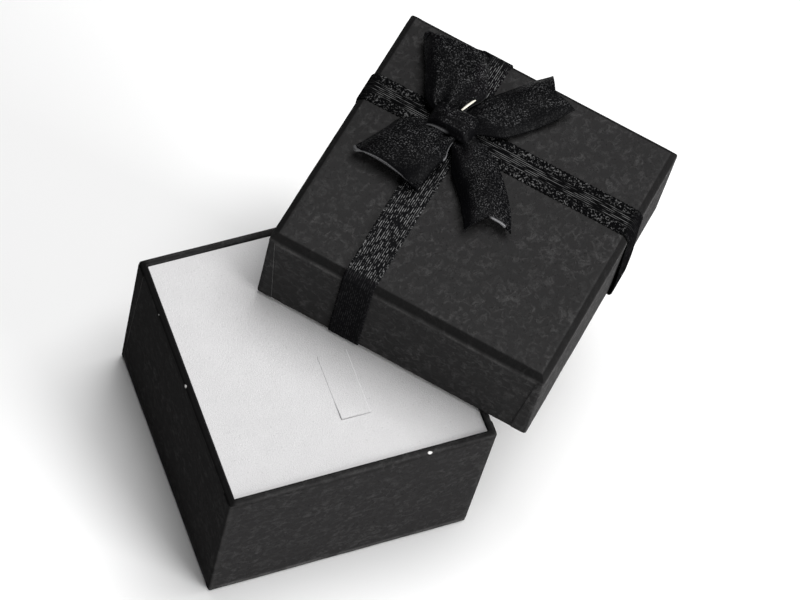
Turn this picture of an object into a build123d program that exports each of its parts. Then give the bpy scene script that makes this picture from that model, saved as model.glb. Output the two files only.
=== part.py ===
"""Square rigid-board jewelry gift box: a wrapped tray with a foam insert, and a lift-off lid with a ribbon bow.

Row frame, millimetres: origin at the centre of the tray's underside, +X to the right along the tray's front
wall, +Y to the back, +Z up. The lid rests level across the tray's back and right rims, turned about +Z.
Each group of pieces is modelled in its own upright frame; the lid group is then moved to its resting place.
"""
import math
import os

from build123d import *

# ---- driving dimensions -------------------------------------------------------------------------------------
TRAY_WIDTH = 50.0          # outside, along X
TRAY_DEPTH = 50.0          # outside, along Y
TRAY_HEIGHT = 36.0         # outside, underside to rim
LID_HEIGHT = 20.5          # outside, rim to top face
BOARD = 0.8                # greyboard thickness
PAPER = 0.18               # covering paper thickness
STAY = 0.10                # corner stay tape thickness
LID_CLEARANCE = 0.80       # gap between the tray's outside and the lid's inside, each side

TRAY_TURN_IN = 12.0        # depth that the covering paper turns down inside the tray
LID_TURN_IN = 9.0          # the same inside the lid
STAY_LEG = 7.0             # leg of each L-shaped corner stay
CORNER_KERF = 0.10         # open joint between two board walls at a corner
PAPER_CORNER_RADIUS = 0.35  # vertical outside edges of the covering paper
LID_EDGE_CHAMFER = 1.3     # pressed-down edge round the lid's top
LAP_TOP = 3.0              # width of the paper's corner lap at the rim
LAP_BOTTOM = 1.2           # width of the same lap at the far end
LAP_PAPER = 0.12           # how far a corner lap stands proud

INSERT_FIT = 0.10          # gap round the insert, each side
INSERT_DROP = 0.40         # insert's top face below the rim
CARD = 0.50                # insert card thickness
LAYER_GAP = 0.05           # gap between the foam and what it touches
TONGUE_WIDTH = 5.6         # ring tongue, along X
TONGUE_LENGTH = 13.0       # ring tongue, hinge line to free end
TONGUE_LEFT = -0.6         # X of the tongue's left edge
TONGUE_FRONT = -14.5       # Y of the tongue's free end
TONGUE_KERF = 0.08         # cut round the tongue
FOAM_SLIT_DEPTH = 9.0      # how deep the tongue's cut goes into the foam
FOAM_SLIT = 0.30           # width of that cut

RIBBON = 0.30              # ribbon thickness
RIBBON_WIDTH = 6.0         # ribbon bands round the lid
BAND_ALONG_X_AT_Y = 9.0    # lid frame: the band that runs left to right
BAND_ALONG_Y_AT_X = -9.5   # lid frame: the band that runs front to back, over the other
RIBBON_TURN_IN = 8.0       # ribbon end glued up the inside of the lid's wall
CROSSING_RAMP = 1.5        # length in which the upper band climbs over the lower one

GLUE_DOT_RADIUS = 2.4
GLUE_DOT = 0.5             # thickness of the glue under the bow
BOW_AT_X = -9.4            # lid frame: the middle of the bow
BOW_AT_Y = 7.9
KNOT_WIDTH = 6.2           # bow knot, along the lid's Y
KNOT_LENGTH = 8.2          # bow knot, along the lid's X
KNOT_HEIGHT = 4.4
KNOT_RADIUS = 1.45         # rounding of the knot's two top edges
LOOP_LENGTH = 17.0         # knot centre to the loop's far end
LOOP_WIDTH = 12.0          # at the far end
LOOP_NECK = 4.6            # width at the knot's centre
LOOP_SHOULDER = 9.4        # knot centre to where the loop has its full width
LOOP_HEIGHT = 3.6
LOOP_NOSE_RADIUS = 1.4     # rounding of the loop's far end
LOOP_TURN = 112.5          # direction of each loop from the lid's +X, either side, in degrees
TAIL_LENGTH = 21.5         # knot centre to the tail's tips
TAIL_WIDTH = 8.2
TAIL_NECK = 2.4            # width at the knot's centre
TAIL_SHOULDER = 8.6        # knot centre to where the tail has its full width
TAIL_NOTCH = 3.6           # depth of the swallowtail cut
TAIL_HEIGHT = 1.2
TAIL_TURN = 47.0           # direction of each tail from the lid's +X, either side, in degrees
BOW_CUT = 0.05             # gap between the bow's pieces

LID_TURN = -47.8           # the resting lid's turn about +Z, in degrees
LID_REST_X = 31.5          # the resting lid's centre
LID_REST_Y = 11.8
LID_REST_GAP = 0.30        # gap between the resting lid's rim and the tray's rim

# ---- derived sizes ------------------------------------------------------------------------------------------
SKIN = PAPER + STAY                    # outside face to the board
WALL = SKIN + BOARD + PAPER            # whole wall, with the turned-in paper
LID_WIDTH = TRAY_WIDTH + 2 * (LID_CLEARANCE + WALL)
LID_DEPTH = TRAY_DEPTH + 2 * (LID_CLEARANCE + WALL)
FLOOR_TOP = PAPER + BOARD
CARD_TOP = TRAY_HEIGHT - INSERT_DROP
CARD_BOTTOM = CARD_TOP - CARD
TONGUE_HINGE_Y = TONGUE_FRONT + TONGUE_LENGTH
TONGUE_MID_X = TONGUE_LEFT + TONGUE_WIDTH / 2
TONGUE_MID_Z = CARD_BOTTOM + CARD / 2
UPRIGHT = (Align.CENTER, Align.CENTER, Align.MIN)
BIG = 3 * max(TRAY_WIDTH, TRAY_DEPTH)  # wider than any piece
OVERCUT = 1.0                          # how far a cutting block reaches past what it cuts


def block(width, depth, low, high):
    """A box centred on the Z axis between two heights."""
    return Pos(0, 0, low) * Box(width, depth, high - low, align=UPRIGHT)


def inset(width, depth, by, low, high):
    """The box that lies `by` inside a width x depth outline."""
    return block(width - 2 * by, depth - 2 * by, low, high)


# ---- rigid board shells, open at +Z -------------------------------------------------------------------------
def board_shell(width, depth, height):
    """Greyboard blank folded up into a floor and four walls, with open joints at the corners."""
    shell = inset(width, depth, SKIN, PAPER, height - PAPER) - inset(
        width, depth, SKIN + BOARD, FLOOR_TOP, height
    )
    joint_x = width / 2 - SKIN - BOARD - CORNER_KERF / 2
    joint_y = depth / 2 - SKIN - BOARD / 2
    for side_x in (-1, 1):
        for side_y in (-1, 1):
            kerf = Box(CORNER_KERF, BOARD + CORNER_KERF, height, align=UPRIGHT)
            shell -= Pos(side_x * joint_x, side_y * joint_y, FLOOR_TOP) * kerf
    return shell


def corner_stays(width, depth, height):
    """Four L-shaped paper tapes that hold the board's corners, between the board and the paper."""
    sleeve = inset(width, depth, PAPER, FLOOR_TOP, height - PAPER) - inset(
        width, depth, SKIN, 0, height
    )
    reach_x = width - 2 * (SKIN + STAY_LEG)
    reach_y = depth - 2 * (SKIN + STAY_LEG)
    return sleeve - block(reach_x, BIG, 0, height) - block(BIG, reach_y, 0, height)


def corner_laps(width, depth, height):
    """The slanted paper flaps that wrap from the front and back walls onto the side walls."""
    lap = Polyline(
        (0, PAPER),
        (LAP_BOTTOM, PAPER),
        (LAP_TOP, height - PAPER),
        (0, height - PAPER),
        close=True,
    )
    flap = extrude(make_face(Plane.YZ * lap), amount=LAP_PAPER + PAPER / 2)
    flap = Pos(width / 2 - PAPER / 2, -depth / 2 + PAPER_CORNER_RADIUS, 0) * flap
    laps = [flap, flap.mirror(Plane.XZ)]
    return laps + [lap_side.mirror(Plane.YZ) for lap_side in laps]


def paper_shell(width, depth, height, turn_in):
    """One sheet of covering paper: under the floor, up the walls, over the rim and down inside."""
    outside = block(width, depth, 0, height)
    outside = fillet(outside.edges().filter_by(Axis.Z), PAPER_CORNER_RADIUS)
    sheet = outside - inset(width, depth, PAPER, PAPER, height - turn_in)
    wall_space = inset(width, depth, PAPER, height - turn_in, height - PAPER) - inset(
        width, depth, WALL - PAPER, height - turn_in, height
    )
    sheet = sheet - wall_space - inset(width, depth, WALL, height - turn_in, height + OVERCUT)
    for flap in corner_laps(width, depth, height):
        sheet += flap
    return sheet


# ---- tray ---------------------------------------------------------------------------------------------------
def tray_board():
    return board_shell(TRAY_WIDTH, TRAY_DEPTH, TRAY_HEIGHT)


def tray_corner_stays():
    return corner_stays(TRAY_WIDTH, TRAY_DEPTH, TRAY_HEIGHT)


def tray_wrap():
    return paper_shell(TRAY_WIDTH, TRAY_DEPTH, TRAY_HEIGHT, TRAY_TURN_IN)


# ---- insert -------------------------------------------------------------------------------------------------
def insert_outline(low, high):
    return inset(TRAY_WIDTH, TRAY_DEPTH, WALL + INSERT_FIT, low, high)


def tongue_slit():
    """The U-shaped cut under the ring tongue, down into the foam."""
    middle_y = (TONGUE_FRONT + TONGUE_HINGE_Y) / 2
    place = Pos(TONGUE_MID_X, middle_y, CARD_BOTTOM - FOAM_SLIT_DEPTH)
    core = Box(TONGUE_WIDTH, TONGUE_LENGTH, FOAM_SLIT_DEPTH, align=UPRIGHT)
    grown = Box(
        TONGUE_WIDTH + 2 * FOAM_SLIT, TONGUE_LENGTH, FOAM_SLIT_DEPTH, align=UPRIGHT
    )
    return place * (Pos(0, -FOAM_SLIT, 0) * grown - core)


def insert_foam():
    return insert_outline(FLOOR_TOP + LAYER_GAP, CARD_BOTTOM - LAYER_GAP) - tongue_slit()


def insert_card():
    """The card that covers the foam, with the window that the ring tongue fills."""
    hinge_room = CARD / 2 + LAYER_GAP
    low_y = TONGUE_FRONT - TONGUE_KERF
    high_y = TONGUE_HINGE_Y + hinge_room
    window = Box(TONGUE_WIDTH + 2 * TONGUE_KERF, high_y - low_y, 3 * CARD)
    return insert_outline(CARD_BOTTOM, CARD_TOP) - (
        Pos(TONGUE_MID_X, (low_y + high_y) / 2, TONGUE_MID_Z) * window
    )


def ring_tongue():
    """The tongue that a ring is threaded on; its rounded end lies on the hinge line."""
    strip = Box(TONGUE_WIDTH, TONGUE_LENGTH, CARD, align=(Align.CENTER, Align.MIN, Align.CENTER))
    end = Rot(0, 90, 0) * Cylinder(CARD / 2, TONGUE_WIDTH)
    return Pos(TONGUE_MID_X, TONGUE_FRONT, TONGUE_MID_Z) * strip + (
        Pos(TONGUE_MID_X, TONGUE_HINGE_Y, TONGUE_MID_Z) * end
    )


# ---- lid, in its own frame: rim at z = 0, top face at z = LID_HEIGHT ----------------------------------------
def upside_down(shape):
    """Turns a shell that is open at +Z into one that is open at -Z."""
    return Pos(0, 0, LID_HEIGHT) * Rot(180, 0, 0) * shape


def edge_trim(width, depth, top, size):
    """What a chamfer of `size` round the top of a width x depth block takes away."""
    whole = block(width, depth, top - 2 * size, top)
    eased = chamfer(whole.faces().sort_by(Axis.Z)[-1].edges(), size)
    return inset(width, depth, -OVERCUT, top - size, top + OVERCUT) - eased


def lid_board():
    trim = edge_trim(LID_WIDTH, LID_DEPTH, LID_HEIGHT, LID_EDGE_CHAMFER + SKIN)
    return upside_down(board_shell(LID_WIDTH, LID_DEPTH, LID_HEIGHT)) - trim


def lid_corner_stays():
    stays = upside_down(corner_stays(LID_WIDTH, LID_DEPTH, LID_HEIGHT))
    return stays - block(BIG, BIG, LID_HEIGHT - LID_EDGE_CHAMFER - SKIN, LID_HEIGHT)


def lid_wrap():
    # The lid's corner laps lie on its front and back walls, so its sheet is turned a quarter.
    sheet = Rot(0, 0, 90) * upside_down(paper_shell(LID_DEPTH, LID_WIDTH, LID_HEIGHT, LID_TURN_IN))
    sheet -= edge_trim(LID_WIDTH, LID_DEPTH, LID_HEIGHT, LID_EDGE_CHAMFER)
    # The paper bridges the pressed-down edge, so a band of it lies along the inside of the chamfer.
    lining = block(LID_WIDTH, LID_DEPTH, LID_HEIGHT - LID_EDGE_CHAMFER - SKIN, LID_HEIGHT)
    lining -= edge_trim(LID_WIDTH, LID_DEPTH, LID_HEIGHT, LID_EDGE_CHAMFER)
    hollow = inset(LID_WIDTH, LID_DEPTH, PAPER, 0, LID_HEIGHT - PAPER)
    hollow -= edge_trim(LID_WIDTH, LID_DEPTH, LID_HEIGHT, LID_EDGE_CHAMFER + PAPER)
    rounded = fillet(lining.edges().filter_by(Axis.Z), PAPER_CORNER_RADIUS)
    return sheet + (rounded - hollow)


# ---- ribbon bands round the lid -----------------------------------------------------------------------------
def band_profile(span):
    """Cross-section of a band that spans the lid: over the top, down both walls and up inside."""
    half = span / 2
    slant = RIBBON * math.tan(math.radians(45 / 2))
    outer = [
        (half + RIBBON, -RIBBON),
        (half + RIBBON, LID_HEIGHT - LID_EDGE_CHAMFER + slant),
        (half - LID_EDGE_CHAMFER + slant, LID_HEIGHT + RIBBON),
    ]
    inner = [
        (half - LID_EDGE_CHAMFER, LID_HEIGHT),
        (half, LID_HEIGHT - LID_EDGE_CHAMFER),
        (half, 0),
        (half - WALL, 0),
        (half - WALL, RIBBON_TURN_IN),
        (half - WALL - RIBBON, RIBBON_TURN_IN),
        (half - WALL - RIBBON, -RIBBON),
    ]
    left_outer = [(-u, v) for u, v in reversed(outer)]
    left_inner = [(-u, v) for u, v in reversed(inner)]
    return Polyline(*outer, *left_outer, *left_inner, *inner, close=True)


def band(span, plane):
    """A ribbon band of that span, drawn on a plane whose X runs along it and whose Y is up."""
    return extrude(make_face(plane * band_profile(span)), amount=RIBBON_WIDTH / 2, both=True)


def ribbon_left_right():
    return Pos(0, BAND_ALONG_X_AT_Y, 0) * band(LID_WIDTH, Plane.XZ)


def ribbon_front_back():
    """The upper band: it climbs over the other one where they cross."""
    strip = Pos(BAND_ALONG_Y_AT_X, 0, 0) * band(LID_DEPTH, Plane.YZ)
    near = RIBBON_WIDTH / 2 + LAYER_GAP
    far = near + CROSSING_RAMP
    hump = Polyline(
        (-far, LID_HEIGHT),
        (-near, LID_HEIGHT + RIBBON),
        (near, LID_HEIGHT + RIBBON),
        (far, LID_HEIGHT),
        (far, LID_HEIGHT + RIBBON),
        (near, LID_HEIGHT + 2 * RIBBON),
        (-near, LID_HEIGHT + 2 * RIBBON),
        (-far, LID_HEIGHT + RIBBON),
        close=True,
    )
    bridge = extrude(make_face(Plane.YZ * hump), amount=RIBBON_WIDTH / 2, both=True)
    gap = Pos(BAND_ALONG_Y_AT_X, BAND_ALONG_X_AT_Y, LID_HEIGHT) * Box(
        RIBBON_WIDTH + 2 * OVERCUT, 2 * far, 2 * OVERCUT
    )
    return strip - gap + Pos(BAND_ALONG_Y_AT_X, BAND_ALONG_X_AT_Y, 0) * bridge


# ---- bow, on the bands' crossing ----------------------------------------------------------------------------
DOT_BOTTOM = LID_HEIGHT + 2 * RIBBON
BOW_BOTTOM = DOT_BOTTOM + GLUE_DOT
LOOP_BOTTOM = BOW_BOTTOM + TAIL_HEIGHT + BOW_CUT


def at_bow(shape, turn=0.0):
    return Pos(BOW_AT_X, BOW_AT_Y, 0) * Rot(0, 0, turn) * shape


def bow_glue_dot():
    dot = Cylinder(GLUE_DOT_RADIUS, GLUE_DOT, align=UPRIGHT)
    return at_bow(Pos(0, 0, DOT_BOTTOM) * dot)


def bow_knot():
    knot = Box(KNOT_LENGTH, KNOT_WIDTH, KNOT_HEIGHT, align=UPRIGHT)
    knot = fillet(knot.edges().filter_by(Axis.Y).group_by(Axis.Z)[-1], KNOT_RADIUS)
    return at_bow(Pos(0, 0, BOW_BOTTOM) * knot)


def knot_room():
    """The knot with a small gap round it, which the loops and tails end at."""
    room = Box(KNOT_LENGTH + 2 * BOW_CUT, KNOT_WIDTH + 2 * BOW_CUT, BIG)
    return at_bow(Pos(0, 0, BOW_BOTTOM) * room)


def bow_loop(side):
    """A full, closed ribbon loop that widens from the knot to its far end."""
    plan = Polyline(
        (0, -LOOP_NECK / 2),
        (LOOP_SHOULDER, -LOOP_WIDTH / 2),
        (LOOP_LENGTH, -LOOP_WIDTH / 2),
        (LOOP_LENGTH, LOOP_WIDTH / 2),
        (LOOP_SHOULDER, LOOP_WIDTH / 2),
        (0, LOOP_NECK / 2),
        close=True,
    )
    solid = Pos(0, 0, LOOP_BOTTOM) * extrude(make_face(plan), amount=LOOP_HEIGHT)
    far_edges = solid.edges().filter_by(Axis.Y).group_by(Axis.X)[-1]
    return at_bow(fillet(far_edges, LOOP_NOSE_RADIUS), side * LOOP_TURN) - knot_room()


def bow_tail(side):
    """A flat ribbon tail with a swallowtail end."""
    plan = Polyline(
        (0, -TAIL_NECK / 2),
        (TAIL_SHOULDER, -TAIL_WIDTH / 2),
        (TAIL_LENGTH, -TAIL_WIDTH / 2),
        (TAIL_LENGTH - TAIL_NOTCH, 0),
        (TAIL_LENGTH, TAIL_WIDTH / 2),
        (TAIL_SHOULDER, TAIL_WIDTH / 2),
        (0, TAIL_NECK / 2),
        close=True,
    )
    solid = Pos(0, 0, BOW_BOTTOM) * extrude(make_face(plan), amount=TAIL_HEIGHT)
    return at_bow(solid, side * TAIL_TURN) - knot_room()


# ---- assembly -----------------------------------------------------------------------------------------------
def resting(shape):
    """Moves a lid piece from the lid's own frame to where the lid rests on the tray."""
    return Pos(LID_REST_X, LID_REST_Y, TRAY_HEIGHT + LID_REST_GAP) * Rot(0, 0, LID_TURN) * shape


TRAY_PIECES = {
    "tray_board": tray_board,
    "tray_corner_stays": tray_corner_stays,
    "tray_wrap": tray_wrap,
    "insert_foam": insert_foam,
    "insert_card": insert_card,
    "ring_tongue": ring_tongue,
}
LID_PIECES = {
    "lid_board": lid_board,
    "lid_corner_stays": lid_corner_stays,
    "lid_wrap": lid_wrap,
    "ribbon_left_right": ribbon_left_right,
    "ribbon_front_back": ribbon_front_back,
    "bow_glue_dot": bow_glue_dot,
    "bow_knot": bow_knot,
    "bow_loop_back": lambda: bow_loop(1),
    "bow_loop_front": lambda: bow_loop(-1),
    "bow_tail_back": lambda: bow_tail(1),
    "bow_tail_front": lambda: bow_tail(-1),
}


def main():
    os.makedirs("parts", exist_ok=True)
    for name, make in TRAY_PIECES.items():
        export_step(make(), f"parts/{name}.step")
    for name, make in LID_PIECES.items():
        export_step(resting(make()), f"parts/{name}.step")
    print("tongue hinge (mm):", TONGUE_MID_X, TONGUE_HINGE_Y, TONGUE_MID_Z)
    print("lid outside (mm):", LID_WIDTH, LID_DEPTH, LID_HEIGHT)


main()
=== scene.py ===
"""The looks of the jewelry gift box: papered board, flocked insert, ribbed ribbon bands and a satin bow.

All lengths are in metres; MM turns millimetres into metres.
"""

import math

import bpy
import numpy as np
from mathutils import Euler, Matrix, Vector, noise


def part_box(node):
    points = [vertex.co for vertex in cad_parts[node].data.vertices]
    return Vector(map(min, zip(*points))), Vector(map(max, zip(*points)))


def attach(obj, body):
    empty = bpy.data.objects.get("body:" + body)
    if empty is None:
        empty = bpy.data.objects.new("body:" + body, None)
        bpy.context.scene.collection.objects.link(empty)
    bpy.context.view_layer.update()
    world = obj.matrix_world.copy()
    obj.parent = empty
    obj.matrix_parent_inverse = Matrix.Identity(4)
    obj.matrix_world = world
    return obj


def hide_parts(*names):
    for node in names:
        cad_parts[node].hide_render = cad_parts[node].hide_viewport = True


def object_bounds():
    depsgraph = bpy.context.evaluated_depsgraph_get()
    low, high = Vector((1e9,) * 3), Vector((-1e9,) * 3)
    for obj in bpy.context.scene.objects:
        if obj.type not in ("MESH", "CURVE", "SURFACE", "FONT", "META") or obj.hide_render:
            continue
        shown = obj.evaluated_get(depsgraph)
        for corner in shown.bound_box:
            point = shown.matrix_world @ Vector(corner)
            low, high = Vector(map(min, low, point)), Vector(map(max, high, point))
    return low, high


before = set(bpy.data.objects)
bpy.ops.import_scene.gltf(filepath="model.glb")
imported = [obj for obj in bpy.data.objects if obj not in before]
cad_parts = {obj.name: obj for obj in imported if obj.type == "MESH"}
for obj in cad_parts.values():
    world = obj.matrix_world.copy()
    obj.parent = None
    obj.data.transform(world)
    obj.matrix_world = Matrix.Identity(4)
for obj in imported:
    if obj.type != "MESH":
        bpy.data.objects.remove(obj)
cad_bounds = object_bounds()

MM = 0.001

# ---- sizes of the paper, card and ribbon -------------------------------------
PAPER = 0.18 * MM
PAPER_SKIN = 0.8 * PAPER       # thickness of the drawn paper
WALL = 1.26 * MM               # wall of a papered shell, with its turned-in paper
BOARD_SKIN = 0.28 * MM         # from the outside of the lid's board to the outside of its paper
TRAY_TURN_IN = 12.0 * MM       # paper turned in over the tray's rim
LID_TURN_IN = 9.0 * MM         # and over the lid's
RIM_ROUND = 0.35 * MM          # how softly the paper turns over a board edge
PAPER_CORNER = 0.45 * MM       # vertical outside corners
LID_BEVEL = 1.3 * MM           # pressed-down edge round the lid's top
FOLD_DEPTH = 0.55 * MM         # the raised fold, below a closed face's bevel
FOLD_WIDTH = 0.38 * MM
FOLD_HEIGHT = 0.07 * MM
BUNCH_SIZE = 1.8 * MM          # the bunched paper at a closed face's corner
BUNCH_HEIGHT = 0.10 * MM
RIM_LINE_DEPTH = 0.85 * MM     # the painted shade line, below the tray's rim
RIM_LINE_WIDTH = 0.22 * MM
LID_TURN = math.radians(-47.8)  # the opened lid's turn about +Z
LAP_TOP = 3.0 * MM             # corner lap's width at the rim
LAP_BOTTOM = 1.2 * MM          # and at the closed end
LAP_PROUD = 0.12 * MM          # how far a lap stands off its wall
LAP_EDGE = 0.25 * MM           # how far from the corner a lap starts
LAP_FILM = 0.005 * MM          # paste under a lap
BAND_WIDTH = 6.0 * MM
BAND_HALF_THICKNESS = 0.13 * MM
BAND_RIBS = 7                  # lengthwise ribs in the middle of a band
BAND_RIB_SHARE = 0.42          # share of the band's width that the ribs take
BAND_STITCH = 0.90 * MM        # length of one selvedge stitch
BAND_LINE_PITCH = 0.36 * MM    # spacing of the gleaming threads
BAND_CLEARANCE = 0.03 * MM     # between a band and the paper under it
BAND_STEP = 0.16 * MM          # spacing of a band's mesh rows
BAND_TUCK = 7.5 * MM           # how far a band's stuck end reaches up inside the lid
BAND_SLACK = 0.55 * MM         # how far the left-right band stands off the lid's right wall
BAND_X_AT_Y = 9.0 * MM         # lid frame: the band along X
BAND_Y_AT_X = -9.5 * MM        # lid frame: the band along Y
RIBBON_HALF_THICKNESS = 0.11 * MM
CARD_EDGE = 0.012 * MM         # rounding of the card's cut edges
CARD_KERF = 0.008 * MM         # the knife's cut beside the tongue
FOAM_EDGE = 0.6 * MM           # softened edges of the foam
FOAM_CORNER = 0.8 * MM         # and its upright corners
PAINTED_HIGHLIGHT_DIRECTION = np.array([0.42, 0.20, 0.885])  # ribbon facing this way gets the brightest painted highlight

# ---- where things are, from the frame ----------------------------------------
wrap_low, wrap_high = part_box("tray_wrap")
card_low, card_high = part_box("insert_card")
foam_low, foam_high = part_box("insert_foam")
tongue_low, tongue_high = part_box("ring_tongue")
board_low, board_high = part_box("lid_board")
lid_wrap_low, lid_wrap_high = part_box("lid_wrap")
knot_low, knot_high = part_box("bow_knot")

RIM_Z = wrap_high.z
TRAY_HALF_X = (wrap_high.x - wrap_low.x) / 2 - LAP_PROUD
TRAY_HALF_Y = (wrap_high.y - wrap_low.y) / 2
SPREAD = abs(math.cos(LID_TURN)) + abs(math.sin(LID_TURN))  # box of the turned lid over its own width
LID_HALF = (board_high.x - board_low.x) / 2 / SPREAD + BOARD_SKIN
LID_RIM_Z = lid_wrap_low.z
LID_HEIGHT = lid_wrap_high.z - lid_wrap_low.z
LID_CENTRE = (board_low + board_high) / 2
LID_PLACE = Matrix.Translation((LID_CENTRE.x, LID_CENTRE.y, LID_RIM_Z)) @ Matrix.Rotation(LID_TURN, 4, "Z")
KNOT_CENTRE = LID_PLACE.inverted() @ ((knot_low + knot_high) / 2)
BOW_Z = (LID_PLACE.inverted() @ knot_low).z


# ---- mesh helpers ------------------------------------------------------------
def smoothstep(low, high, x):
    """0 below low, 1 above high, and a smooth rise between them."""
    t = np.clip((x - low) / (high - low), 0.0, 1.0)
    return t * t * (3 - 2 * t)


def wobble(points, size, seed):
    """Smooth noise from -1 to 1 at each point, with bumps about `size` across."""
    shift = Vector((seed * 7.31, seed * 3.77, seed * 5.13))
    values = [noise.noise(Vector(p) / size + shift) for p in points.reshape(-1, 3)]
    return np.array(values).reshape(points.shape[:-1])


def add_object(name, data):
    """A new object in the scene."""
    made = bpy.data.objects.new(name, data)
    bpy.context.scene.collection.objects.link(made)
    return made


def new_piece(name, points, faces, material, body, smooth=True):
    """A visible piece from points and faces, that rides the body."""
    mesh = bpy.data.meshes.new(name)
    mesh.from_pydata([tuple(p) for p in points], [], faces)
    mesh.validate()
    mesh.update()
    piece = add_object(name, mesh)
    mesh.materials.append(material)
    for polygon in mesh.polygons:
        polygon.use_smooth = smooth
    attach(piece, body)
    return piece


def add_attribute(piece, name, values):
    attribute = piece.data.attributes.new(name, "FLOAT", "POINT")
    attribute.data.foreach_set("value", np.asarray(values, np.float32).ravel())


def point_grid(x, y, z):
    """One grid of points from coordinates that broadcast together."""
    return np.stack(np.broadcast_arrays(x, y, z), axis=-1)


def place(points, matrix):
    """Points of any grid shape, moved by a 4x4 matrix."""
    m = np.array(matrix)
    return points @ m[:3, :3].T + m[:3, 3]


def surface_normals(grid, closed_rows=False):
    """Unit normals of a grid of points; closed_rows wraps the second index round."""
    if closed_rows:
        across = np.roll(grid, -1, 1) - np.roll(grid, 1, 1)
    else:
        across = np.gradient(grid, axis=1)
    along = np.gradient(grid, axis=0)
    normal = np.cross(along, across)
    return normal / np.maximum(np.linalg.norm(normal, axis=-1, keepdims=True), 1e-12)


def quad_strip_faces(rows, columns, closed_columns):
    """Faces between the points of a grid; closed_columns joins the last column to the first."""
    faces = []
    last = columns if closed_columns else columns - 1
    for i in range(rows - 1):
        for j in range(last):
            k = (j + 1) % columns
            faces.append((i * columns + j, i * columns + k, (i + 1) * columns + k, (i + 1) * columns + j))
    return faces


def ribbon_solid(name, middle, half, material, body, relief=0.0, painted_highlight=0.0, highlight_dimming=0.0, thread_share=1.0):
    """A closed strip of cloth: middle is a grid of its middle surface, half its half thickness, relief lifts
    its face, gleam marks painted highlight lines on its threads, dull how far its painted highlight is turned
    down as painted shade, and thread_share is how many of a whole ribbon's threads cross it."""
    rows, columns = middle.shape[:2]
    normal = surface_normals(middle)
    half = np.broadcast_to(half, (rows, columns))[..., None]
    lift = np.broadcast_to(relief, (rows, columns))[..., None]
    face = middle + normal * (half + lift)
    back = (middle - normal * half)[:, ::-1]
    ring = np.concatenate([face, back], axis=1)
    count = 2 * columns
    faces = quad_strip_faces(rows, count, True)
    for row in (0, rows - 1):
        for j in range(columns - 1):
            cap = [row * count + k for k in (j, j + 1, count - 2 - j, count - 1 - j)]
            faces.append(tuple(cap[::-1] if row else cap))
    piece = new_piece(name, ring.reshape(-1, 3), faces, material, body)
    v = np.linspace(-1, 1, columns)
    across = np.concatenate([v, v[::-1]]) * thread_share
    steps = np.linalg.norm(np.diff(middle[:, columns // 2], axis=0), axis=1)
    along = np.concatenate([[0.0], np.cumsum(steps)])
    add_attribute(piece, "across", np.broadcast_to(across, (rows, count)))
    add_attribute(piece, "along", np.broadcast_to(along[:, None], (rows, count)))
    add_attribute(piece, "seed", np.full((rows, count), len(name) * 3.7))
    # level is painted light: how squarely the ribbon faces the fixed direction above, lowered by dull, sets
    # how bright its painted highlight is; gleam marks painted highlight lines
    facing = np.abs(normal @ PAINTED_HIGHLIGHT_DIRECTION) * (1 - np.broadcast_to(highlight_dimming, (rows, columns)))
    add_attribute(piece, "level", np.concatenate([facing, facing[:, ::-1]], axis=1))
    shine = np.broadcast_to(painted_highlight, (rows, columns))
    add_attribute(piece, "painted_highlight", np.concatenate([shine, shine[:, ::-1]], axis=1))
    return piece


def ring_points(half_x, half_y, radius, side_steps, corner_steps):
    """Points round a rounded rectangle, the same number for every size."""
    points = []
    signs = np.array([(1, 1), (-1, 1), (-1, -1), (1, -1)])
    centres = signs * np.array([half_x - radius, half_y - radius])
    for quarter, (centre, next_centre) in enumerate(zip(centres, np.roll(centres, -1, axis=0))):
        for k in range(corner_steps + 1):
            angle = (quarter + k / corner_steps) * math.pi / 2
            offset = radius * np.array([math.cos(angle), math.sin(angle)])
            points.append(centre + offset)
        for k in range(1, side_steps):
            points.append(centre + offset + (next_centre - centre) * k / side_steps)
    return np.array(points)


# ---- node helpers ------------------------------------------------------------
def principled(name, color, roughness, **sockets):
    """A new material, its node tree and its shader; an underscore in a keyword stands for a space."""
    material = bpy.data.materials.new(name)
    material.use_nodes = True
    shader = material.node_tree.nodes["Principled BSDF"]
    shader.inputs["Base Color"].default_value = (*color, 1)
    shader.inputs["Roughness"].default_value = roughness
    for socket, value in sockets.items():
        shader.inputs[socket.replace("_", " ")].default_value = value
    return material, material.node_tree, shader


def node(tree, kind, **values):
    """A new node with the given settings and input values."""
    made = tree.nodes.new(kind)
    for key, value in values.items():
        if hasattr(made, key):
            setattr(made, key, value)
        else:
            made.inputs[key].default_value = value
    return made


def math_node(tree, operation, a, b=0.0):
    """The result of a math node whose inputs are numbers or sockets."""
    made = tree.nodes.new("ShaderNodeMath")
    made.operation = operation
    for socket, value in zip(made.inputs, (a, b)):
        if isinstance(value, (int, float)):
            socket.default_value = value
        else:
            tree.links.new(value, socket)
    return made.outputs[0]


def times(tree, a, b):
    """The product of two inputs that are numbers or sockets."""
    return math_node(tree, "MULTIPLY", a, b)


def ramp(tree, value, low, high, to_low=0.0, to_high=1.0):
    """Maps low..high of a value smoothly to to_low..to_high."""
    made = tree.nodes.new("ShaderNodeMapRange")
    made.interpolation_type = "SMOOTHSTEP"
    for socket, number in zip(made.inputs[1:5], (low, high, to_low, to_high)):
        socket.default_value = number
    tree.links.new(value, made.inputs[0])
    return made.outputs[0]


def object_position(tree):
    return tree.nodes.new("ShaderNodeTexCoord").outputs["Object"]


def noise_value(tree, position, size, detail=3.0, distortion=0.0):
    """Noise around 0.5 whose marks are about `size` across."""
    made = node(tree, "ShaderNodeTexNoise", Scale=1 / size, Detail=detail, Distortion=distortion)
    tree.links.new(position, made.inputs["Vector"])
    return made.outputs["Fac"]


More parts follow.
